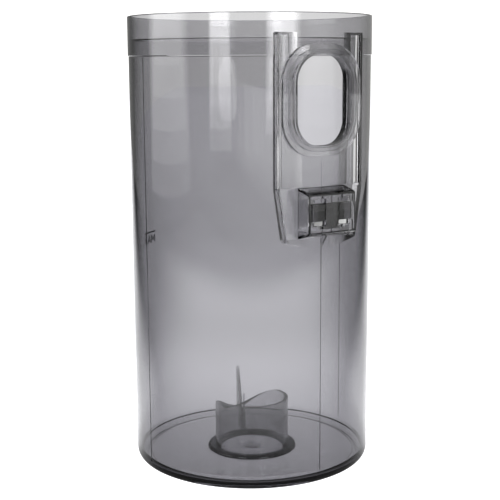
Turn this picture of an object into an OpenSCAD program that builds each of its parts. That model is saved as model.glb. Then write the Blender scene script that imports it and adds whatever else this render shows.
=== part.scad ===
// Clear dust canister of a bagless vacuum cleaner: an open-topped cylinder with a closed floor,
// a side inlet with a stepped collar, a latch bracket with two snap tongues, and a central socket.
// The axis is +Z, the floor rests on Z = 0, and the inlet faces -Y.

/* [Canister] */
// Height of the canister
canister_h = 240; // [200:1:280]
// Outer radius of the wall at its foot
wall_foot_r = 64.0; // [63:0.1:64.4]
// Outer radius of the wall under the rim band
wall_head_r = 64.6; // [64.5:0.1:64.8]
// Wall thickness
wall_t = 2.4; // [2:0.1:3]
// Outer radius of the rim band
rim_r = 65.0; // [64.9:0.1:66]
// Height of the rim band
band_h = 20.5; // [16:0.5:24]
// Radius of the lid's seat inside the rim
seat_r = 62.9; // [62.7:0.1:63.3]
// Depth of the lid's seat
seat_h = 12.5; // [8:0.5:14]
// Rounding of the rim's two edges
rim_round = 0.5; // [0.2:0.1:0.8]

/* [Floor] */
// Thickness of the floor
floor_t = 2.6; // [2:0.1:3.5]
// Radius of the floor's flat middle
floor_r = 56.5; // [54:0.5:57.5]
// Height of the moulded corner between floor and wall
corner_h = 8.0; // [7.8:0.1:10]
// Rounding under the floor's edge
corner_round = 5.0; // [3:0.1:5.4]

/* [Mounting plate] */
// Distance of the plate's face in front of the axis
plate_y = 63.44; // [63.2:0.02:63.8]
// Half the plate's width
plate_half_w = 25.4; // [24.5:0.1:27]
// Top of the plate
plate_top_z = 230.2; // [228:0.1:232]
// Height at which the plate starts to narrow
kink_z = 153.5; // [150:0.5:156]
// Height of the plate's lower corners
plate_foot_z = 128.0; // [126:0.5:130]
// Half the plate's width at its lower corners
plate_foot_half_w = 21.6; // [20:0.1:23]
// Drop of the curved lower edge below those corners
plate_sag = 4.0; // [2:0.5:6]
// Height of the rails and the apron in front of the plate's face
rail_h = 0.75; // [0.5:0.05:1]
// Width of the two rails
rail_w = 1.5; // [1:0.1:1.6]
// Height of the apron's upper edge
apron_z = 155.0; // [154:0.5:157]

/* [Inlet] */
// Height of the inlet's centre
inlet_z = 197.3; // [190:0.1:200]
// Half the opening's width
inlet_half_w = 16.5; // [14:0.1:17]
// Half the opening's height
inlet_half_h = 22.2; // [18:0.1:22.5]
// Corner radius of the opening
inlet_corner_r = 13.5; // [8:0.1:14]
// Height of each ring above and below the opening, as a share of its width at the sides
ring_squash = 0.74; // [0.7:0.01:0.8]
// Thickness of the sleeve that lines the opening
sleeve_t = 1.2; // [1:0.1:1.4]
// Width of the step around the sleeve
step_w = 2.6; // [2:0.1:2.8]
// Width of the flange around the step
flange_w = 3.4; // [3:0.1:3.4]
// Height of the flange in front of the plate's face
flange_h = 1.8; // [1.6:0.1:2.2]
// Height of the step in front of the plate's face
step_h = 2.8; // [2.5:0.1:3]
// Height of the sleeve's end in front of the plate's face
sleeve_h = 3.6; // [3.2:0.1:4]

/* [Latch bracket] */
// Half the bracket's width
latch_half_w = 14.2; // [13:0.1:15]
// Distance of the bracket's front in front of the axis
latch_y = 73.4; // [72:0.1:75]
// Top of the bracket at its front
latch_top_z = 152.7; // [151:0.1:154]
// Underside of the bracket at its front
latch_foot_z = 131.7; // [130:0.1:133]
// Rise of the bracket's top from front to back
latch_top_rise = 2.2; // [1:0.1:2.4]
// Fall of the bracket's underside from front to back
latch_foot_fall = 2.6; // [1:0.1:3]
// Wall thickness of the bracket
latch_t = 1.5; // [1.2:0.1:1.8]
// Half the width of the panel between the two tongues
panel_half_w = 3.9; // [3:0.1:4]
// Distance of a window's outer edge from the middle
window_edge_x = 10.9; // [10.8:0.1:11.2]
// Lower edge of the windows
window_foot_z = 136.4; // [136:0.1:137]
// Upper edge of the windows
window_top_z = 149.8; // [149:0.1:150]
// Thickness of the middle rib
rib_t = 1.0; // [0.8:0.1:1.4]

/* [Snap tongues] */
// Lower edge of a tongue
tongue_foot_z = 138.8; // [138:0.1:139]
// Upper edge of a tongue
tongue_top_z = 147.2; // [147:0.1:148]
// Thickness of a tongue's arm
tongue_arm_t = 1.4; // [1.2:0.1:1.6]
// Thickness of the block at a tongue's free end
tongue_block_t = 3.1; // [2.5:0.1:3.3]
// Length of that block
tongue_block_l = 3.5; // [3:0.1:4]
// Clearance around a tongue
tongue_gap = 0.35; // [0.3:0.05:0.4]
// Distance of a tongue's bending line from the middle
tongue_root_x = 11.6; // [11.5:0.1:11.7]

/* [Socket and fin] */
// Outer radius of the central socket
socket_r = 20.3; // [18:0.1:22]
// Wall thickness of the socket
socket_t = 1.8; // [1.5:0.1:2.2]
// Rounding between the socket's bore and the floor
socket_fillet_r = 1.5; // [1:0.1:2]
// Height of the socket's rim above the base
socket_top_z = 30.7; // [28:0.1:34]
// Radius that rounds off the back of the socket's rim
socket_scoop_r = 22.0; // [21.5:0.1:24]
// Outer radius of the ring around the socket's foot
foot_ring_r = 24.6; // [23.5:0.1:26]
// Height of that ring above the floor
foot_ring_h = 1.9; // [1.2:0.1:2.5]
// Direction of the fin, counted from the inlet towards +X
fin_az = 159.3; // [140:0.1:175]
// Distance of the fin's outer edge from the axis
fin_r = 38.4; // [34:0.1:42]
// Height of the fin's tip above the base
fin_top_z = 38.0; // [34:0.1:44]
// Thickness of the fin
fin_t = 1.6; // [1.2:0.1:2]
// Radius of the gate boss inside the socket
gate_r = 5.0; // [3:0.5:7]
// Height of the gate boss
gate_h = 0.5; // [0.3:0.1:1]

/* [Fill mark] */
// Height of the fill line
mark_z = 120.5; // [100:0.5:130]
// Direction of the fill line's middle, counted from the inlet towards +X
mark_az = -143.2; // [-160:0.1:-130]
// Length of the fill line
mark_l = 16.0; // [8:0.5:18]
// Width of the printed line
stroke = 0.8; // [0.5:0.1:1]
// Height of the letters
letter_h = 4.4; // [3:0.1:5]
// Width of each letter
letter_w = 4.2; // [2.5:0.1:5]
// Distance from one letter to the next, along the wall
letter_pitch = 5.2; // [3.5:0.1:6]
// Width of the letters' strokes
letter_stroke = 0.8; // [0.4:0.05:1]
// Thickness of the print
ink_t = 0.12; // [0.1:0.01:0.2]

/* [Hidden] */
$fn = 200;

eps = 0.01;
far = 80;                                      // reach of cutting blocks, clear of the canister
band_z = canister_h - band_h;                  // lower edge of the rim band
seat_z = canister_h - seat_h;                  // shoulder under the lid's seat
bore_foot_r = wall_foot_r - wall_t;            // inner radius of the wall at its foot
bore_head_r = wall_head_r - wall_t;            // inner radius of the wall under the band
fillet_r = bore_foot_r - floor_r;              // rounding between floor and wall, inside
socket_bore_r = socket_r - socket_t;
sleeve_out = sleeve_t;                         // widths around the opening, from inside to outside
step_out = sleeve_out + step_w;
flange_out = step_out + flange_w;
apron_y = plate_y + rail_h;
wing_back_y = 50;                              // depth at which every plate piece is inside the wall
fin_foot_r = 22.2;                             // where the fin's sloping edge meets the floor
root_room_x = tongue_root_x + tongue_arm_t / 2 + tongue_gap;
letter_gap = 1.0;                              // space between the line and the letters
spur_r = 22.4;                                 // outer edge of the spur on the socket's back
spur_top_z = 26.3;
tint = [0.47, 0.47, 0.49, 0.55];
dark_tint = [0.33, 0.34, 0.37, 0.75];

// Turns something built along -Y to a direction counted from the inlet towards +X.
module toward(az) rotate([0, 0, az]) children();

// Extrudes a shape drawn in X and Z from y = -front to y = -back.
module facing_front(front, back)
    translate([0, -back, 0]) rotate([90, 0, 0]) linear_extrude(front - back) children();

// Extrudes a shape drawn in Y and Z over x = -half .. half.
module across(half)
    translate([-half, 0, 0]) rotate([90, 0, 90]) linear_extrude(2 * half) children();

// Everything inside the outer surface of the wall.
module wall_outside() {
    cylinder(h = corner_h, r = wall_foot_r);
    translate([0, 0, corner_h]) cylinder(h = band_z - corner_h, r1 = wall_foot_r, r2 = wall_head_r);
    translate([0, 0, band_z]) cylinder(h = band_h, r = rim_r);
}

// Everything inside the inner surface of the wall.
module wall_inside() {
    translate([0, 0, corner_h]) cylinder(h = band_z - corner_h, r1 = bore_foot_r, r2 = bore_head_r);
    translate([0, 0, band_z - eps]) cylinder(h = seat_z - band_z + 2 * eps, r = bore_head_r);
}

// The inlet's outline in X and Z, grown by a margin.
module inlet_outline(grow) {
    w = inlet_half_w + grow;
    h = inlet_half_h + grow * ring_squash;
    r = inlet_corner_r + grow * ring_squash;
    translate([0, inlet_z]) {
        square([2 * (w - r), 2 * h], center = true);
        square([2 * w, 2 * (h - r)], center = true);
        for (x = [-1, 1], z = [-1, 1]) translate([x * (w - r), z * (h - r)]) circle(r);
    }
}

module inlet_ring(inner, outer) difference() {
    inlet_outline(outer);
    inlet_outline(inner);
}

// The shield-shaped outline of the mounting plate in X and Z.
module plate_outline() {
    sag_r = (plate_foot_half_w * plate_foot_half_w + plate_sag * plate_sag) / (2 * plate_sag);
    polygon([
        [-plate_half_w, plate_top_z], [-plate_half_w, kink_z], [-plate_foot_half_w, plate_foot_z],
        [plate_foot_half_w, plate_foot_z], [plate_half_w, kink_z], [plate_half_w, plate_top_z]]);
    intersection() {
        translate([0, plate_foot_z - plate_sag + sag_r]) circle(sag_r);
        translate([-plate_foot_half_w, plate_foot_z - plate_sag])
            square([2 * plate_foot_half_w, plate_sag]);
    }
}

// One side of the plate's upper part: side is -1 on the left and 1 on the right.
module plate_wing(side) difference() {
    facing_front(plate_y, wing_back_y) intersection() {
        plate_outline();
        translate([side > 0 ? 0 : -far, apron_z]) square([far, plate_top_z - apron_z]);
    }
    wall_outside();
    facing_front(far, 0) inlet_outline(sleeve_out);
}

module guide_rail(side) facing_front(apron_y, plate_y)
    translate([side > 0 ? plate_half_w - rail_w : -plate_half_w, apron_z])
        square([rail_w, plate_top_z - apron_z]);

// A stepped ring of the inlet's collar, standing on the wings and on the wall between them.
module collar_ring(inner, outer, height) difference() {
    facing_front(plate_y + height, plate_y) inlet_ring(inner, outer);
    wall_outside();
}

// The bracket's side view in Y and Z, shrunk by a margin at its top, front and underside.
module latch_profile(inset) polygon([
    [-wing_back_y, latch_top_z + latch_top_rise - inset], [-plate_y, latch_top_z + latch_top_rise - inset],
    [-latch_y + 1, latch_top_z - inset], [-latch_y + inset, latch_top_z - 1 - inset],
    [-latch_y + inset, latch_foot_z + 1 + inset], [-latch_y + 1, latch_foot_z + inset],
    [-plate_y, latch_foot_z - latch_foot_fall + inset], [-wing_back_y, latch_foot_z - latch_foot_fall + inset]]);

// The plate's apron and the wall, which every bracket piece stands on.
module latch_ground() {
    wall_outside();
    translate([-far, -apron_y, 0]) cube([2 * far, 2 * apron_y, apron_z]);
    translate([-far, -plate_y, 0]) cube([2 * far, 2 * plate_y, canister_h]);
}

// A snap tongue that reaches from its bending line towards the middle, drawn on the right side.
module snap_tongue() {
    tip_x = panel_half_w + tongue_gap;
    translate([0, 0, tongue_foot_z]) linear_extrude(tongue_top_z - tongue_foot_z) {
        translate([tip_x, -latch_y]) square([tongue_block_l, tongue_block_t]);
        translate([tip_x, -latch_y]) square([tongue_root_x - tip_x, tongue_arm_t]);
        translate([tongue_root_x, -latch_y + tongue_arm_t / 2]) circle(tongue_arm_t / 2);
    }
}

// A straight printed stroke on the wall between two points of a letter's own grid: x runs round the
// wall from 0 to 1 of the letter's width and z from 0 to 1 of its height.
module ink_stroke(x0, z0, x1, z1) {
    dx = (x1 - x0) * letter_w;
    dz = (z1 - z0) * letter_h;
    translate([x0 * letter_w, 0, z0 * letter_h]) rotate([0, -atan2(dz, dx), 0])
        translate([0, -ink_t, -letter_stroke / 2]) cube([sqrt(dx * dx + dz * dz), ink_t, letter_stroke]);
}

// ---- canister ----

module canister_wall() color(tint) difference() {
    translate([0, 0, corner_h])
        cylinder(h = band_z - corner_h, r1 = wall_foot_r, r2 = wall_head_r);
    translate([0, 0, corner_h - eps])
        cylinder(h = band_z - corner_h + 2 * eps, r1 = bore_foot_r, r2 = bore_head_r);
    facing_front(far, 0) inlet_outline(sleeve_out);
}

module floor_disc() color(tint) cylinder(h = floor_t, r = floor_r);

module corner_ring() color(tint) rotate_extrude() difference() {
    union() {
        translate([floor_r, 0]) square([wall_foot_r - corner_round - floor_r, corner_h]);
        translate([floor_r, corner_round]) square([wall_foot_r - floor_r, corner_h - corner_round]);
        intersection() {
            translate([wall_foot_r - corner_round, corner_round]) circle(corner_round);
            translate([floor_r, 0]) square([wall_foot_r - floor_r, corner_round]);
        }
    }
    difference() {
        translate([floor_r, floor_t]) square([fillet_r, corner_h]);
        difference() {
            translate([floor_r, floor_t]) square(fillet_r);
            translate([floor_r, floor_t + fillet_r]) circle(fillet_r);
        }
    }
}

module rim_band() color(tint) difference() {
    rotate_extrude() difference() {
        union() {
            translate([bore_head_r, band_z]) square([rim_r - bore_head_r, band_h - rim_round]);
            translate([bore_head_r, band_z])
                square([rim_r - rim_round - bore_head_r, band_h]);
            translate([rim_r - rim_round, canister_h - rim_round]) circle(rim_round);
        }
        translate([0, seat_z]) square([seat_r, seat_h + 1]);
    }
    facing_front(far, 0) inlet_outline(sleeve_out);
}

// ---- mounting plate ----

module left_plate_wing() color(tint) plate_wing(-1);

module right_plate_wing() color(tint) plate_wing(1);

module left_guide_rail() color(dark_tint) guide_rail(-1);

module right_guide_rail() color(dark_tint) guide_rail(1);

module lower_apron() color(tint) difference() {
    facing_front(apron_y, wing_back_y) intersection() {
        plate_outline();
        translate([-far, 0]) square([2 * far, apron_z]);
    }
    wall_outside();
}

// ---- inlet ----

module inlet_flange() color(dark_tint) collar_ring(step_out, flange_out, flange_h);

module inlet_step() color(dark_tint) collar_ring(sleeve_out, step_out, step_h);

module inlet_sleeve() color(dark_tint) difference() {
    facing_front(plate_y + sleeve_h, wing_back_y) inlet_ring(0, sleeve_out);
    wall_inside();
}

// ---- latch bracket ----

module latch_housing() color(dark_tint) difference() {
    across(latch_half_w) latch_profile(0);
    across(latch_half_w - latch_t) latch_profile(latch_t);
    latch_ground();
    for (side = [-1, 1]) {
        facing_front(far, latch_y - 3) translate([side > 0 ? panel_half_w : -window_edge_x, window_foot_z])
            square([window_edge_x - panel_half_w, window_top_z - window_foot_z]);
        // room for the tongue's root
        facing_front(far, latch_y - 3) translate([side > 0 ? panel_half_w : -root_room_x, tongue_foot_z - tongue_gap])
            square([root_room_x - panel_half_w, tongue_top_z - tongue_foot_z + 2 * tongue_gap]);
        // the slit that runs on above and below each window
        facing_front(far, latch_y - 3) translate([side * 6 - 0.45, window_foot_z - 1.6])
            square([0.9, window_top_z - window_foot_z + 3.2]);
        // the shallow recess in each cheek
        translate([side * latch_half_w, -latch_y + 5.2, (latch_foot_z + latch_top_z) / 2])
            cube([1.2, 7, latch_top_z - latch_foot_z - 3.6], center = true);
    }
}

module latch_rib() color(dark_tint) difference() {
    across(rib_t / 2) latch_profile(latch_t);
    latch_ground();
}

module latch_gusset() color(dark_tint) difference() {
    across(rib_t / 2) polygon([
        [-wing_back_y, latch_foot_z - latch_foot_fall], [-latch_y + 4.5, latch_foot_z - 1.2],
        [-apron_y, plate_foot_z - plate_sag], [-wing_back_y, plate_foot_z - plate_sag]]);
    across(latch_half_w) latch_profile(0);
    latch_ground();
}

module left_snap_tongue() color(dark_tint) mirror([1, 0, 0]) snap_tongue();

module right_snap_tongue() color(dark_tint) snap_tongue();

// ---- socket and fin ----

module dust_socket() color(dark_tint) difference() {
    intersection() {
        translate([0, 0, floor_t]) cylinder(h = socket_top_z - floor_t, r = socket_r);
        union() {
            translate([-far, -far, 0]) cube([2 * far, far, far]);
            translate([0, 0, socket_top_z - socket_scoop_r]) rotate([0, 90, 0])
                cylinder(h = 2 * far, r = socket_scoop_r, center = true);
        }
    }
    translate([0, 0, floor_t + socket_fillet_r]) cylinder(h = far, r = socket_bore_r);
    // a fillet rounds the foot of the bore into the floor
    rotate_extrude() difference() {
        square([socket_bore_r, floor_t + socket_fillet_r]);
        difference() {
            translate([socket_bore_r - socket_fillet_r, floor_t]) square(socket_fillet_r);
            translate([socket_bore_r - socket_fillet_r, floor_t + socket_fillet_r])
                circle(socket_fillet_r);
        }
    }
}

module socket_foot_ring() color(dark_tint) rotate_extrude() {
    round_r = foot_ring_h - 0.3;
    translate([socket_r, floor_t]) square([foot_ring_r - socket_r - round_r, foot_ring_h]);
    translate([socket_r, floor_t]) square([foot_ring_r - socket_r, foot_ring_h - round_r]);
    intersection() {
        translate([foot_ring_r - round_r, floor_t + foot_ring_h - round_r]) circle(round_r);
        translate([socket_r, floor_t]) square([foot_ring_r, foot_ring_h]);
    }
}

module anti_swirl_fin() color(dark_tint) difference() {
    toward(fin_az) across(fin_t / 2) polygon([
        [-fin_r, floor_t], [-fin_r, fin_top_z - 1], [-fin_r + 0.5, fin_top_z],
        [-fin_r + 1.1, fin_top_z - 0.4], [-fin_foot_r, floor_t]]);
    cylinder(h = floor_t + foot_ring_h, r = foot_ring_r);
}

module socket_spur() color(dark_tint) difference() {
    toward(fin_az) across(0.5) polygon([
        [-spur_r, floor_t], [-socket_r - 0.6, spur_top_z], [-socket_r + 0.5, spur_top_z - 2],
        [-socket_r + 0.5, floor_t]]);
    cylinder(h = floor_t + foot_ring_h, r = foot_ring_r);
    cylinder(h = far, r = socket_r);
}

module gate_boss() color(dark_tint) translate([0, 0, floor_t]) cylinder(h = gate_h, r = gate_r);

// ---- fill mark ----

module max_mark() color("black") {
    mark_r = wall_foot_r + (wall_head_r - wall_foot_r) * (mark_z - corner_h) / (band_z - corner_h);
    line_deg = mark_l / mark_r * 180 / PI;
    letter_deg = letter_pitch / mark_r * 180 / PI;
    segments = 6;
    // the line, as short straight strokes round the wall
    for (i = [0 : segments - 1])
        toward(mark_az + line_deg * ((i + 0.5) / segments - 0.5))
            translate([0, -mark_r, mark_z - stroke / 2])
                translate([-mark_l / segments / 2, -ink_t, 0]) cube([mark_l / segments - 0.1, ink_t, stroke]);
    // the letters M, A and X
    for (i = [0 : 2])
        toward(mark_az + letter_deg * (i - 1))
            translate([-letter_w / 2, -mark_r, mark_z - stroke - letter_gap - letter_h]) {
                if (i == 0) {
                    ink_stroke(0, 0, 0, 1);
                    ink_stroke(0, 1, 0.5, 0.3);
                    ink_stroke(0.5, 0.3, 1, 1);
                    ink_stroke(1, 1, 1, 0);
                }
                if (i == 1) {
                    ink_stroke(0, 0, 0.5, 1);
                    ink_stroke(0.5, 1, 1, 0);
                    ink_stroke(0.25, 0.35, 0.75, 0.35);
                }
                if (i == 2) {
                    ink_stroke(0, 0, 1, 1);
                    ink_stroke(0, 1, 1, 0);
                }
            }
}

canister_wall();
floor_disc();
corner_ring();
rim_band();
left_plate_wing();
right_plate_wing();
left_guide_rail();
right_guide_rail();
lower_apron();
inlet_flange();
inlet_step();
inlet_sleeve();
latch_housing();
latch_rib();
latch_gusset();
left_snap_tongue();
right_snap_tongue();
dust_socket();
socket_foot_ring();
anti_swirl_fin();
socket_spur();
gate_boss();
max_mark();
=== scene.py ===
import math
import bmesh
import bpy
from mathutils import Matrix, Vector


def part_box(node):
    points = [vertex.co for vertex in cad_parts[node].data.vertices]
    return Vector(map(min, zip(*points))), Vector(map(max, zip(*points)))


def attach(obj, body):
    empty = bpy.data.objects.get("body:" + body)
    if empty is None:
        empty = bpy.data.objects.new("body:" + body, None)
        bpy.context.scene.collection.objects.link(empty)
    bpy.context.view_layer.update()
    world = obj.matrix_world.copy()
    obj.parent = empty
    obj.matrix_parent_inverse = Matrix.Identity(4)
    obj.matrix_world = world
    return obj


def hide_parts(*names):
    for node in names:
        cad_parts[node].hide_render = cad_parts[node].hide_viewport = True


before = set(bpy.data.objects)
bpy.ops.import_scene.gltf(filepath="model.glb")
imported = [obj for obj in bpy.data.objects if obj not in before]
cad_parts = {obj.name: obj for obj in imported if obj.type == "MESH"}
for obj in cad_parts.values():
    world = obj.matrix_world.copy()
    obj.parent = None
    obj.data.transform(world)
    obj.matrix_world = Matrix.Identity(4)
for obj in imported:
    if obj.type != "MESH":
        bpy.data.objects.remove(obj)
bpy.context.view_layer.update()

MM = 0.001

# Sizes of the shell, in millimetres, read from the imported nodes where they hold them.
WALL_T = 2.4
CORNER_ROUND = 5.0
RIM_ROUND = 0.5
SEAT_R = 62.9
SEAT_H = 12.5
STEP_CHAMFER = 0.3
GROOVE_DEPTH = 0.25
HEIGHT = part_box("rim_band")[1].z / MM
RIM_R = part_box("rim_band")[1].x / MM
BAND_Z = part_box("rim_band")[0].z / MM
FOOT_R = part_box("corner_ring")[1].x / MM
CORNER_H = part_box("corner_ring")[1].z / MM
FLOOR_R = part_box("floor_disc")[1].x / MM
FLOOR_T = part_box("floor_disc")[1].z / MM
HEAD_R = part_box("canister_wall")[1].x / MM

# The collar's bore: half its width, half its height and the radius of its corners.
BORE_HALF_W = 16.5
BORE_HALF_H = 22.2
BORE_CORNER_R = 13.5

# The mounting plate: the thickness of its sheet, and the apron's narrowing towards its foot.
SHEET_T = 1.3
APRON_TAPER = 3.8
APRON_KINK = 29.5
APRON_SOLE = 4.0

# Parting lines of the mould: azimuth, lowest and highest point. Each is a ridge on the outside, with
# a dark strip of painted shade inside the wall.
PARTING_LINES = [(0.0, 6.0, 124.0), (-90.0, 6.0, 240.0), (90.0, 6.0, 240.0)]
RIDGE_HEIGHT = 0.15
RIDGE_HALF_DEG = 0.10
RIDGE_FOOT_DEG = 0.35
SHADE_SEAM_HALF_DEG = 0.14
SHADE_SEAM_DEPTHS = (-0.5, -0.1)

# Painted shade: the dark bead in the floor's edge, and the dark threads in the plate's outer edges.
BEAD_CENTRE = (62.45, 4.15)
BEAD_R = 0.5
THREAD_IN = 0.4
THREAD_HALF_W = 0.25
THREAD_DEPTH = 1.0
LEFT_THREAD_INSET = 4.4
RIGHT_THREAD_INSET = 0.15

SHELL_SEGMENTS = 288
BEAD_SEGMENTS = 180

# The lowest and highest roughness of the polished plastic, and of the socket's.
CLEAR = (0.0, 0.03)
HAZY = (0.0, 0.04)

# Light, in metres, degrees and radiance.
CAMERA_AZIMUTH = -33.2
PANEL_DISTANCE = 0.9
PALE_LEVEL = 1.35
FRONT_GLOW = 2.6
UNDER_GLOW = 1.8
BACK_GLOW = 1.16
NEAR_GLOW = 1.6
DIM_LEFT = 0.08
DIM_RIGHT = 0.7
SIDE_GLOW = 0.9
TABLE_HALF, TABLE_FRONT, TABLE_BACK = 0.85, 0.75, 9.0

# Light panels: name, azimuth, half angle, foot, top, radiance, softness of the foot and layers.
PANELS = [
    ("left_panel", -26.5, 10.0, 0.10, 1.1, 9.0, 0.3, 12),
    ("right_panel", 30.0, 16.0, 0.12, 1.1, 7.0, 0.12, 7),
    ("left_fill", -80.0, 24.0, 0.04, 1.1, 3.6, 0.25, 7),
    ("low_fill", 45.0, 60.0, 0.02, 0.17, 1.2, 0.05, 4),
]


# ---------------------------------------------------------------- camera, light and stage

def make_camera():
    distance, height, pitch, roll = 0.6031, 0.2175, 8.632, -0.316
    data = bpy.data.cameras.new("camera")
    data.sensor_width = 36.0
    data.lens = 80.13
    data.shift_x = -0.0014
    data.shift_y = -0.0441
    data.clip_start = 0.01
    camera = bpy.data.objects.new("camera", data)
    bpy.context.scene.collection.objects.link(camera)
    yaw = math.radians(CAMERA_AZIMUTH)
    place = Matrix.Translation((distance * math.sin(yaw), -distance * math.cos(yaw), height))
    turn = Matrix.Rotation(yaw, 4, "Z") @ Matrix.Rotation(math.radians(90.0 - pitch), 4, "X")
    camera.matrix_world = place @ turn @ Matrix.Rotation(math.radians(roll), 4, "Z")
    bpy.context.scene.camera = camera


def soft_panel(name, azimuth, half_angle, foot, top, radiance, softness, layers):
    """An upright panel whose foot and sides fade, made of nested rectangles. Its azimuth is counted
    from the camera's side of the object, positive to the right. It isn't seen directly and doesn't
    light matt surfaces, so that the table stays evenly lit."""
    turn = math.radians(CAMERA_AZIMUTH + azimuth)
    full_width = 2 * PANEL_DISTANCE * math.tan(math.radians(half_angle))
    for layer in range(layers):
        share = layer / (layers - 1)
        distance = PANEL_DISTANCE + 0.01 * layer
        low = foot + softness * share
        data = bpy.data.lights.new(f"{name}_{layer}", "AREA")
        data.shape = "RECTANGLE"
        data.size = full_width * (1.0 - 0.45 * share)
        data.size_y = top - low
        data.energy = radiance / layers * math.pi * data.size * data.size_y
        light = bpy.data.objects.new(data.name, data)
        bpy.context.scene.collection.objects.link(light)
        light.location = (distance * math.sin(turn), -distance * math.cos(turn), (top + low) / 2)
        light.rotation_euler = (math.radians(90.0), 0.0, turn)
        light.visible_camera = False
        light.visible_diffuse = False


def make_world():
    """A pale surround. In reflections it is dim, as the unlit room around a studio table is, and
    brighter towards the camera's right."""
    world = bpy.data.worlds.new("studio")
    world.use_nodes = True
    tree = world.node_tree
    tree.nodes["Background"].inputs["Color"].default_value = (1.0, 1.0, 0.98, 1.0)
    path = tree.nodes.new("ShaderNodeLightPath")
    reflected = tree.nodes.new("ShaderNodeMath")
    reflected.operation = "GREATER_THAN"
    reflected.inputs[1].default_value = 0.5
    link(tree, path, "Glossy Depth", reflected, 0)
    yaw = math.radians(CAMERA_AZIMUTH)
    direction = tree.nodes.new("ShaderNodeTexCoord")
    sideways = tree.nodes.new("ShaderNodeVectorMath")
    sideways.operation = "DOT_PRODUCT"
    sideways.inputs[1].default_value = (math.cos(yaw), math.sin(yaw), 0.0)
    link(tree, direction, "Generated", sideways, 0)
    dim = tree.nodes.new("ShaderNodeMapRange")
    dim.inputs["From Min"].default_value = -1.0
    dim.inputs["To Min"].default_value = DIM_LEFT
    dim.inputs["To Max"].default_value = DIM_RIGHT
    link(tree, sideways, "Value", dim, "Value")
    level = tree.nodes.new("ShaderNodeMapRange")
    level.inputs["To Min"].default_value = PALE_LEVEL
    link(tree, reflected, "Value", level, "Value")
    link(tree, dim, "Result", level, "To Max")
    link(tree, level, "Result", tree.nodes["Background"], "Strength")
    bpy.context.scene.world = world


def make_stage(material):
    """The white table, square to the camera."""
    turn = Matrix.Rotation(math.radians(CAMERA_AZIMUTH), 4, "Z")
    corners = [(-TABLE_HALF, -TABLE_FRONT), (TABLE_HALF, -TABLE_FRONT),
               (TABLE_HALF, TABLE_BACK), (-TABLE_HALF, TABLE_BACK)]
    table = mesh_object("table", [turn @ Vector((x, y, -0.0003)) for x, y in corners], [(0, 1, 2, 3)])
    table.data.materials.append(material)


# ---------------------------------------------------------------- mesh helpers

def mesh_object(name, vertices, faces):
    mesh = bpy.data.meshes.new(name)
    mesh.from_pydata(vertices, [], faces)
    mesh.validate()
    piece = bpy.data.objects.new(name, mesh)
    bpy.context.scene.collection.objects.link(piece)
    return piece


def boolean(piece, cutter, operation):
    """Cuts or joins a mesh in place, and deletes the cutter."""
    modifier = piece.modifiers.new("boolean", "BOOLEAN")
    modifier.operation = operation
    modifier.solver = "EXACT"
    modifier.object = cutter
    depsgraph = bpy.context.evaluated_depsgraph_get()
    result = bpy.data.meshes.new_from_object(piece.evaluated_get(depsgraph))
    piece.modifiers.clear()
    piece.data = result
    bpy.data.objects.remove(cutter)


def turn_outward(piece):
    """Makes the faces of closed shapes look outward, as an absorbing inside needs."""
    mesh = bmesh.new()
    mesh.from_mesh(piece.data)
    bmesh.ops.recalc_face_normals(mesh, faces=mesh.faces)
    mesh.to_mesh(piece.data)
    mesh.free()


def prism_faces(first, count):
    """The faces of a prism whose two outlines of so many points start at a vertex."""
    near = list(range(first, first + count))
    far = [vertex + count for vertex in near]
    faces = [(near[i], near[(i + 1) % count], far[(i + 1) % count], far[i]) for i in range(count)]
    return faces + [tuple(near[::-1]), tuple(far)]


def smooth(piece, angle):
    """Smooth shading, with edges sharper than the angle kept sharp."""
    piece.data.shade_smooth()
    piece.data.set_sharp_from_angle(angle=math.radians(angle))


def weigh_normals(piece):
    """Keeps wide faces flat up to their rounded edges."""
    modifier = piece.modifiers.new("flat", "WEIGHTED_NORMAL")
    modifier.weight = 100
    modifier.keep_sharp = True
    depsgraph = bpy.context.evaluated_depsgraph_get()
    result = bpy.data.meshes.new_from_object(piece.evaluated_get(depsgraph))
    piece.modifiers.clear()
    piece.data = result


def round_normals(piece):
    """Gives narrow upright faces that lie round the axis the true normals of a cylinder, so that
    light bends through them evenly whatever their triangles are. Faces near the axis stay flat."""
    near_axis, most_tilt, most_span = 0.005, 0.9992, math.cos(math.radians(2.0))
    mesh = piece.data
    normals = [normal.vector.copy() for normal in mesh.corner_normals]
    for polygon in mesh.polygons:
        outward = Vector((polygon.center.x, polygon.center.y))
        if outward.length < near_axis:
            continue
        outward.normalize()
        facing = polygon.normal.xy.dot(outward)
        points = [mesh.vertices[i].co.xy.normalized() for i in polygon.vertices]
        span = min(point.dot(outward) for point in points)
        if abs(facing) < most_tilt or span < most_span:
            continue
        side = 1.0 if facing > 0.0 else -1.0
        for loop, point in zip(polygon.loop_indices, points):
            normals[loop] = (point.to_3d() * side + Vector((0.0, 0.0, polygon.normal.z))).normalized()
    mesh.normals_split_custom_set(normals)


def toward(azimuth, radius, z):
    """A point at an azimuth counted from the inlet towards +X, in millimetres."""
    turn = math.radians(azimuth)
    return (radius * math.sin(turn) * MM, -radius * math.cos(turn) * MM, z * MM)


# ---------------------------------------------------------------- the shell

def arc(centre, radius, start, end, steps):
    points = []
    for i in range(steps + 1):
        turn = math.radians(start + (end - start) * i / steps)
        points.append((centre[0] + radius * math.cos(turn), centre[1] + radius * math.sin(turn)))
    return points


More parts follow.
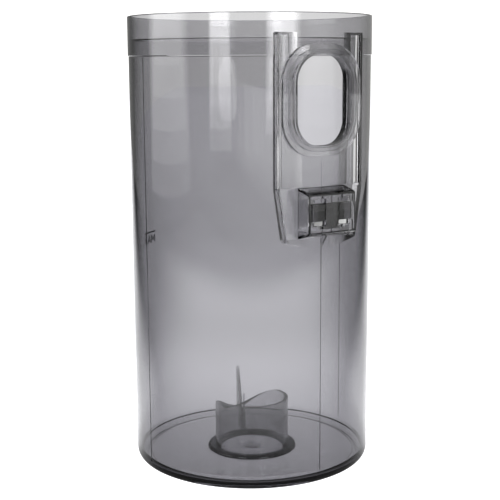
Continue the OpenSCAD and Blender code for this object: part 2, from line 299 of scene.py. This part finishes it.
def shell_profile():
    """The canister's cross-section, from the underside up the outside and down the inside to a groove
    in the floor, and the number of its points that lie on the outside."""
    fillet_r = FOOT_R - WALL_T - FLOOR_R
    bore_head_r = HEAD_R - WALL_T
    outside = arc((FOOT_R - CORNER_ROUND, CORNER_ROUND), CORNER_ROUND, -90, 0, 8)
    outside += [(FOOT_R, 6.0), (FOOT_R, CORNER_H)]
    for z in (60.0, 124.0, 170.0):
        share = (z - CORNER_H) / (BAND_Z - CORNER_H)
        outside.append((FOOT_R + (HEAD_R - FOOT_R) * share, z))
    outside += [(HEAD_R, BAND_Z - STEP_CHAMFER), (RIM_R, BAND_Z), (RIM_R, 226.0)]
    outside += arc((RIM_R - RIM_ROUND, HEIGHT - RIM_ROUND), RIM_ROUND, 0, 90, 4)
    inside = arc((SEAT_R + RIM_ROUND, HEIGHT - RIM_ROUND), RIM_ROUND, 90, 180, 4)
    seat_z = HEIGHT - SEAT_H
    inside += [(SEAT_R, seat_z + 0.3), (SEAT_R - 0.2, seat_z), (bore_head_r + 0.15, seat_z - 0.05)]
    inside += [(bore_head_r, seat_z - 0.3), (bore_head_r, BAND_Z), (FLOOR_R + fillet_r, CORNER_H)]
    inside += arc((FLOOR_R, FLOOR_T + fillet_r), fillet_r, 0, -90, 10)
    groove_z = FLOOR_T - GROOVE_DEPTH
    inside += [(FLOOR_R - 0.15, groove_z), (FLOOR_R - 0.4, groove_z), (FLOOR_R - 0.55, FLOOR_T)]
    return outside + inside, len(outside)


def shell_angles():
    angles = [360.0 * i / SHELL_SEGMENTS - 180.0 for i in range(SHELL_SEGMENTS)]
    for azimuth, _, _ in PARTING_LINES:
        centre = (azimuth + 180.0) % 360.0 - 180.0
        angles = [a for a in angles if abs(a - centre) > RIDGE_FOOT_DEG + 0.1]
        for offset in (-RIDGE_FOOT_DEG, -RIDGE_HALF_DEG, 0.0, RIDGE_HALF_DEG, RIDGE_FOOT_DEG):
            angles.append((centre + offset + 180.0) % 360.0 - 180.0)
    return sorted(angles)


def ridge(azimuth, z):
    """How far a parting line's ridge stands out at a point of the wall."""
    for centre, low, high in PARTING_LINES:
        offset = (azimuth - centre + 180.0) % 360.0 - 180.0
        if abs(offset) < 0.01 and low <= z <= high:
            return RIDGE_HEIGHT
    return 0.0


def make_shell():
    profile, outside_count = shell_profile()
    angles = shell_angles()
    count = len(profile)
    vertices = []
    for azimuth in angles:
        for i, (radius, z) in enumerate(profile):
            lift = min(ridge(azimuth, z), RIM_R - radius) if i < outside_count else 0.0
            vertices.append(toward(azimuth, radius + lift, z))
    faces = []
    columns = len(angles)
    for a in range(columns):
        b = (a + 1) % columns
        for i in range(count - 1):
            faces.append((a * count + i, b * count + i, b * count + i + 1, a * count + i + 1))
    faces.append([a * count for a in range(columns)][::-1])
    faces.append([a * count + count - 1 for a in range(columns)])
    shell = mesh_object("canister_shell", vertices, faces)
    cutter = inlet_prism("inlet_cutter", grow=1.2, front=74.0, back=54.0)
    boolean(shell, cutter, "DIFFERENCE")
    smooth(shell, 28)
    round_normals(shell)
    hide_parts("canister_wall", "floor_disc", "corner_ring", "rim_band")
    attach(shell, "canister")
    return shell


def upright_prism(name, outline, front_y, back_y):
    """A prism along Y over an outline in X and Z, in millimetres."""
    vertices = [(x * MM, y * MM, z * MM) for y in (front_y, back_y) for x, z in outline]
    count = len(outline)
    faces = [tuple(range(count)), tuple(range(2 * count - 1, count - 1, -1))]
    faces += [(i, i + count, (i + 1) % count + count, (i + 1) % count) for i in range(count)]
    return mesh_object(name, vertices, faces)


def inlet_outline(grow):
    """The inlet's rounded outline in X and Z, grown by a margin, as the collar's rings need it."""
    low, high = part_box("inlet_sleeve")
    centre_z = (low.z + high.z) / 2 / MM
    flare = grow * 0.74
    half_w = BORE_HALF_W + grow
    half_h = BORE_HALF_H + flare
    radius = BORE_CORNER_R + flare
    points = []
    for sx, sz, start in ((1, 1, 0), (-1, 1, 90), (-1, -1, 180), (1, -1, 270)):
        corner = (sx * (half_w - radius), centre_z + sz * (half_h - radius))
        points += arc(corner, radius, start, start + 90, 16)
    return points


def inlet_prism(name, grow, front, back):
    """A solid in the shape of the inlet, between two distances in front of the axis."""
    return upright_prism(name, inlet_outline(grow), -front, -back)


def plate_void(name, front_y):
    """The hollow behind the plate's sheet: the plate's outline less the sheet's thickness."""
    low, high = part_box("lower_apron")
    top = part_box("left_plate_wing")[1].z / MM - SHEET_T
    half = high.x / MM - SHEET_T
    kink = low.z / MM + APRON_KINK
    foot = low.z / MM + APRON_SOLE + SHEET_T
    narrow = half - APRON_TAPER
    outline = [(-half, top), (-half, kink), (-narrow, foot), (narrow, foot), (half, kink), (half, top)]
    return upright_prism(name, outline, -front_y + SHEET_T, -50.0)


# ---------------------------------------------------------------- painted shade: dark pieces inside the mouldings

def add_shade_piece(name, vertices, faces, material):
    """A closed shape of painted shade buried in the canister's mouldings."""
    piece = mesh_object(name, vertices, faces)
    turn_outward(piece)
    piece.data.materials.append(material)
    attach(piece, "canister")
    return piece


def make_edge_shade_bead(material):
    """Painted shade: a dark ring buried in the rim of the floor's disc, which draws the corner's almost
    black line.
    """
    profile = arc(BEAD_CENTRE, BEAD_R, 0, 345, 23)
    count = len(profile)
    vertices = []
    faces = []
    for a in range(BEAD_SEGMENTS):
        b = (a + 1) % BEAD_SEGMENTS
        vertices += [toward(360.0 * a / BEAD_SEGMENTS, radius, z) for radius, z in profile]
        for i in range(count):
            j = (i + 1) % count
            faces.append((a * count + i, b * count + i, b * count + j, a * count + j))
    bead = add_shade_piece("floor_edge_shade_bead", vertices, faces, material)
    smooth(bead, 60)


def make_seam_shade(material):
    """Painted shade: dark strips buried in the wall along the mould's parting lines, which show as thin
    dark threads.
    """
    deep, shallow = SHADE_SEAM_DEPTHS
    corners = [(-SHADE_SEAM_HALF_DEG, deep), (SHADE_SEAM_HALF_DEG, deep),
               (SHADE_SEAM_HALF_DEG, shallow), (-SHADE_SEAM_HALF_DEG, shallow)]
    vertices = []
    faces = []
    for azimuth, low, high in PARTING_LINES:
        faces += prism_faces(len(vertices), len(corners))
        for z in (max(low, CORNER_H), min(high, BAND_Z - 1.0)):
            radius = FOOT_R + (HEAD_R - FOOT_R) * (z - CORNER_H) / (BAND_Z - CORNER_H)
            vertices += [toward(azimuth + turn, radius + depth, z) for turn, depth in corners]
    add_shade_piece("parting_seam_shade", vertices, faces, material)


def make_outline_shade(material):
    """Painted shade: dark threads buried inside the outer edges of the rails and the apron, which draw
    them as dark lines. The left ones lie deeper, at the back of the edge, and the right ones at its front."""
    apron_foot, apron_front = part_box("lower_apron")[0].z / MM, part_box("lower_apron")[0].y / MM
    corners = [(-THREAD_HALF_W, 0.0), (THREAD_HALF_W, 0.0), (THREAD_HALF_W, THREAD_DEPTH),
               (-THREAD_HALF_W, THREAD_DEPTH)]
    vertices = []
    faces = []
    threads = ((-1.0, "left_guide_rail", LEFT_THREAD_INSET), (1.0, "right_guide_rail", RIGHT_THREAD_INSET))
    for side, node, inset in threads:
        low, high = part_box(node)
        outer = max(abs(low.x), abs(high.x)) / MM - THREAD_IN
        rail = (low.y / MM, (outer, low.z / MM + 0.2), (outer, high.z / MM - 0.2))
        apron = (apron_front, (outer - APRON_TAPER, apron_foot + 5.0), (outer, apron_foot + APRON_KINK))
        for front, lower_end, upper_end in (rail, apron):
            faces += prism_faces(len(vertices), len(corners))
            for x, z in (lower_end, upper_end):
                for across, depth in corners:
                    vertices.append((side * (x + across) * MM, (front + inset + depth) * MM, z * MM))
    add_shade_piece("plate_outline", vertices, faces, material)


# ---------------------------------------------------------------- pieces from the CAD's own solids

def moulded(node, body, material, bevel=0.2, grow=0.025, void=None):
    """A moulded feature: the node's solid with rounded edges, pushed out a hair so that it overlaps
    its neighbours, as one moulding does, and light passes the joint. A void makes it a thin sheet."""
    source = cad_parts[node]
    piece = bpy.data.objects.new(node + "_moulding", source.data.copy())
    bpy.context.scene.collection.objects.link(piece)
    if void:
        boolean(piece, void, "DIFFERENCE")
    mesh = bmesh.new()
    mesh.from_mesh(piece.data)
    bmesh.ops.remove_doubles(mesh, verts=mesh.verts, dist=2e-6)
    bmesh.ops.dissolve_limit(mesh, angle_limit=math.radians(0.6), verts=mesh.verts, edges=mesh.edges)
    if bevel:
        sharp = [edge for edge in mesh.edges if len(edge.link_faces) == 2
                 and edge.calc_face_angle(0.0) > math.radians(38.0)]
        bmesh.ops.bevel(mesh, geom=sharp, offset=bevel * MM, segments=2, profile=0.6,
                        affect="EDGES", clamp_overlap=True)
    bmesh.ops.recalc_face_normals(mesh, faces=mesh.faces)
    mesh.normal_update()
    for vertex in mesh.verts:
        vertex.co += vertex.normal * grow * MM
    mesh.to_mesh(piece.data)
    mesh.free()
    piece.data.materials.clear()
    piece.data.materials.append(material)
    smooth(piece, 40)
    weigh_normals(piece)
    round_normals(piece)
    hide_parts(node)
    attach(piece, body)
    return piece


# ---------------------------------------------------------------- materials

def link(tree, source, output, target, socket):
    tree.links.new(source.outputs[output], target.inputs[socket])


def noise(tree, scale, detail=4.0, stretch=(1.0, 1.0, 1.0)):
    """A noise texture in the piece's own coordinates."""
    coordinates = tree.nodes.new("ShaderNodeTexCoord")
    mapping = tree.nodes.new("ShaderNodeMapping")
    mapping.inputs["Scale"].default_value = stretch
    texture = tree.nodes.new("ShaderNodeTexNoise")
    texture.inputs["Scale"].default_value = scale
    texture.inputs["Detail"].default_value = detail
    link(tree, coordinates, "Object", mapping, "Vector")
    link(tree, mapping, "Vector", texture, "Vector")
    return texture


def to_range(tree, source, low, high):
    """Spreads the middle of a noise's values over a range."""
    spread = tree.nodes.new("ShaderNodeMapRange")
    spread.inputs["From Min"].default_value = 0.3
    spread.inputs["From Max"].default_value = 0.7
    spread.inputs["To Min"].default_value = low
    spread.inputs["To Max"].default_value = high
    link(tree, source, "Fac", spread, "Value")
    return spread


def do_math(tree, operation, first, second):
    """A maths node on two values, each a socket or a number."""
    node = tree.nodes.new("ShaderNodeMath")
    node.operation = operation
    for socket, value in zip(node.inputs, (first, second)):
        if isinstance(value, float):
            socket.default_value = value
        else:
            tree.links.new(value, socket)
    return node.outputs["Value"]


def vector_math(tree, operation, source, constant):
    """A vector node on a vector and a constant, for its number."""
    node = tree.nodes.new("ShaderNodeVectorMath")
    node.operation = operation
    tree.links.new(source, node.inputs[0])
    node.inputs[1].default_value = constant
    return node.outputs["Value"]


def soft_step(tree, source, start, end, before, after):
    """Goes smoothly from one value to another while the source goes from start to end."""
    node = tree.nodes.new("ShaderNodeMapRange")
    node.interpolation_type = "SMOOTHSTEP"
    node.inputs["From Min"].default_value = start
    node.inputs["From Max"].default_value = end
    node.inputs["To Min"].default_value = before
    node.inputs["To Max"].default_value = after
    tree.links.new(source, node.inputs["Value"])
    return node.outputs["Result"]


def smoked_plastic(name, density, roughness, bump, edge=1.0, edge_shade_start=0.7, ior=1.585):
    """Clear smoked polycarbonate: it darkens with the depth of plastic that light passes. Its edge value
    is
    painted shade: the base colour falls to it where the surface turns away from the view, so rounded edges
    show dark lines."""
    material = bpy.data.materials.new(name)
    material.use_nodes = True
    tree = material.node_tree
    surface = tree.nodes["Principled BSDF"]
    surface.inputs["Base Color"].default_value = (0.985, 0.985, 0.985, 1.0)
    if edge < 1.0:
        # Painted shade: where the surface turns away from the view, the base colour darkens towards the
        # edge value.
        turned_away = tree.nodes.new("ShaderNodeLayerWeight")
        turned_away.inputs["Blend"].default_value = 0.5
        left = soft_step(tree, turned_away.outputs["Facing"], edge_shade_start, 0.97, 0.985, edge)
        tree.links.new(left, surface.inputs["Base Color"])
    surface.inputs["Transmission Weight"].default_value = 1.0
    surface.inputs["IOR"].default_value = ior
    haze = to_range(tree, noise(tree, 45.0), roughness[0], roughness[1])
    link(tree, haze, "Result", surface, "Roughness")
    flow = noise(tree, 30.0, 3.0, (1.0, 1.0, 0.35))
    relief = tree.nodes.new("ShaderNodeBump")
    relief.inputs["Strength"].default_value = bump
    relief.inputs["Distance"].default_value = 0.0004
    link(tree, flow, "Fac", relief, "Height")
    link(tree, relief, "Normal", surface, "Normal")
    absorption = tree.nodes.new("ShaderNodeVolumeAbsorption")
    absorption.inputs["Color"].default_value = (0.40, 0.395, 0.425, 1.0)
    absorption.inputs["Density"].default_value = density
    link(tree, absorption, "Volume", tree.nodes["Material Output"], "Volume")
    return material


def painted_shade_core(name, density):
    """Painted shade: a filling that absorbs light without bending it, for dark pieces buried in the
    mouldings.
    """
    material = bpy.data.materials.new(name)
    material.use_nodes = True
    tree = material.node_tree
    tree.nodes.remove(tree.nodes["Principled BSDF"])
    clear = tree.nodes.new("ShaderNodeBsdfTransparent")
    link(tree, clear, "BSDF", tree.nodes["Material Output"], "Surface")
    absorption = tree.nodes.new("ShaderNodeVolumeAbsorption")
    absorption.inputs["Color"].default_value = (0.30, 0.28, 0.32, 1.0)
    absorption.inputs["Density"].default_value = density
    link(tree, absorption, "Volume", tree.nodes["Material Output"], "Volume")
    return material


def ink():
    """Matt black print, slightly worn."""
    material = bpy.data.materials.new("print_ink")
    material.use_nodes = True
    tree = material.node_tree
    surface = tree.nodes["Principled BSDF"]
    wear = noise(tree, 900.0)
    ramp = tree.nodes.new("ShaderNodeValToRGB")
    ramp.color_ramp.elements[0].color = (0.012, 0.012, 0.014, 1.0)
    ramp.color_ramp.elements[1].color = (0.05, 0.05, 0.055, 1.0)
    link(tree, wear, "Fac", ramp, "Fac")
    link(tree, ramp, "Color", surface, "Base Color")
    spread = to_range(tree, wear, 0.45, 0.7)
    link(tree, spread, "Result", surface, "Roughness")
    return material


def table_glow(tree):
    """How strongly the table glows at each place, with distances in metres from the object's axis. Seen
    directly or through the plastic, it is pale everywhere. In reflections it is bright only some way
    in front and behind, and dark close to the object's front."""
    yaw = math.radians(CAMERA_AZIMUTH)
    place = tree.nodes.new("ShaderNodeTexCoord").outputs["Object"]
    reach = vector_math(tree, "LENGTH", place, (0.0, 0.0, 0.0))
    back = vector_math(tree, "DOT_PRODUCT", place, (-math.sin(yaw), math.cos(yaw), 0.0))
    right = vector_math(tree, "DOT_PRODUCT", place, (math.cos(yaw), math.sin(yaw), 0.0))

    # In front: facing is 1 straight ahead and falls to the sides.
    forward = do_math(tree, "SUBTRACT", 0.06, back)
    facing = do_math(tree, "DIVIDE", forward, do_math(tree, "ADD", reach, 0.06))
    ahead = soft_step(tree, facing, -0.1, 0.8, 0.0, FRONT_GLOW)
    outward = do_math(tree, "ADD", reach, do_math(tree, "MULTIPLY", facing, 0.2))
    edged = do_math(tree, "MULTIPLY", ahead, soft_step(tree, outward, 0.66, 0.88, 1.0, 0.1))
    front_glow = do_math(tree, "MULTIPLY", edged, soft_step(tree, reach, 0.08, 0.32, 0.05, 1.0))

    # Behind: a band that shows through the wall, and that is not mirrored from the front.
    sideways = do_math(tree, "ABSOLUTE", right, 0.0)
    spread_out = do_math(tree, "DIVIDE", sideways, do_math(tree, "ADD", back, 0.66))
    behind = soft_step(tree, reach, 0.12, 0.32, NEAR_GLOW, BACK_GLOW)
    back_glow = do_math(tree, "MULTIPLY", behind, soft_step(tree, spread_out, 0.25, 0.45, 1.0, 0.0))
    path = tree.nodes.new("ShaderNodeLightPath")
    mirrored = do_math(tree, "GREATER_THAN", path.outputs["Glossy Depth"], 0.5)
    in_front = soft_step(tree, back, -0.06, 0.06, 1.0, 0.0)
    kept = do_math(tree, "SUBTRACT", 1.0, do_math(tree, "MULTIPLY", mirrored, in_front))
    lit = do_math(tree, "MAXIMUM", front_glow, do_math(tree, "MULTIPLY", back_glow, kept))
    around = do_math(tree, "MAXIMUM", lit, do_math(tree, "SUBTRACT", SIDE_GLOW, mirrored))

    # Under the floor of the object.
    beyond = soft_step(tree, reach, 0.055, 0.0625, 0.0, 1.0)
    lift = do_math(tree, "MULTIPLY", do_math(tree, "SUBTRACT", around, UNDER_GLOW), beyond)
    return do_math(tree, "ADD", lift, UNDER_GLOW)


def pale_table():
    """White laminate that glows, so that it stays pale while the object throws no dark shadow."""
    material = bpy.data.materials.new("pale_table")
    material.use_nodes = True
    tree = material.node_tree
    surface = tree.nodes["Principled BSDF"]
    surface.inputs["Base Color"].default_value = (0.12, 0.12, 0.12, 1.0)
    surface.inputs["Specular IOR Level"].default_value = 0.1
    spread = to_range(tree, noise(tree, 60.0), 0.7, 0.85)
    link(tree, spread, "Result", surface, "Roughness")
    surface.inputs["Emission Color"].default_value = (0.98, 0.98, 1.0, 1.0)
    tree.links.new(table_glow(tree), surface.inputs["Emission Strength"])
    return material


# ---------------------------------------------------------------- the build

bpy.context.scene.view_settings.view_transform = "Standard"
bpy.context.scene.cycles.max_bounces = 24
bpy.context.scene.cycles.transmission_bounces = 24

make_camera()
make_world()
for panel in PANELS:
    soft_panel(*panel)
make_stage(pale_table())

# The edge values paint shade along surfaces that turn away from the view, as dark outlines on each piece.
wall_plastic = smoked_plastic("smoked_wall", 470.0, CLEAR, 0.03, edge=0.4, edge_shade_start=0.62)
plate_plastic = smoked_plastic("smoked_plate", 260.0, CLEAR, 0.01)
rail_plastic = smoked_plastic("smoked_rail", 330.0, CLEAR, 0.01, edge=0.05)
fitting_plastic = smoked_plastic("smoked_fittings", 260.0, CLEAR, 0.01, edge=0.05)
latch_plastic = smoked_plastic("smoked_latch", 430.0, CLEAR, 0.01, edge=0.05, edge_shade_start=0.86)
rib_plastic = smoked_plastic("smoked_rib", 60.0, CLEAR, 0.01, edge=0.1, ior=1.2)
tongue_plastic = smoked_plastic("smoked_tongue", 1200.0, CLEAR, 0.01, edge=0.1)
socket_plastic = smoked_plastic("smoked_socket", 440.0, HAZY, 0.01, edge=0.02, edge_shade_start=0.6)
fin_plastic = smoked_plastic("smoked_fin", 1100.0, HAZY, 0.01, edge=0.1)
ring_plastic = smoked_plastic("smoked_ring", 1700.0, HAZY, 0.01, edge=0.05)

shell = make_shell()
shell.data.materials.clear()
shell.data.materials.append(wall_plastic)

wing_y = -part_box("left_plate_wing")[0].y / MM
apron_y = -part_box("lower_apron")[0].y / MM
for node, front_y in (("left_plate_wing", wing_y), ("right_plate_wing", wing_y), ("lower_apron", apron_y)):
    moulded(node, "canister", plate_plastic, bevel=0.0, void=plate_void("void", front_y))
# Painted shade: dark absorbing pieces in the floor's edge, along the parting lines and in the plate's
# edges.
make_edge_shade_bead(painted_shade_core("painted_shade_core", 6000.0))
line_shade_plastic = painted_shade_core("painted_line_shade", 14000.0)
make_seam_shade(line_shade_plastic)
make_outline_shade(line_shade_plastic)
for node in ("left_guide_rail", "right_guide_rail"):
    moulded(node, "canister", rail_plastic)
for node in ("inlet_flange", "inlet_step", "inlet_sleeve"):
    moulded(node, "canister", fitting_plastic)
for node in ("latch_housing", "latch_gusset"):
    moulded(node, "canister", latch_plastic)
moulded("latch_rib", "canister", rib_plastic)
moulded("left_snap_tongue", "left_tongue", tongue_plastic)
moulded("right_snap_tongue", "right_tongue", tongue_plastic)
for node in ("dust_socket", "gate_boss"):
    moulded(node, "canister", socket_plastic)
for node in ("anti_swirl_fin", "socket_spur"):
    moulded(node, "canister", fin_plastic)
moulded("socket_foot_ring", "canister", ring_plastic)

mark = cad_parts["max_mark"]
mark.data.materials.clear()
mark.data.materials.append(ink())
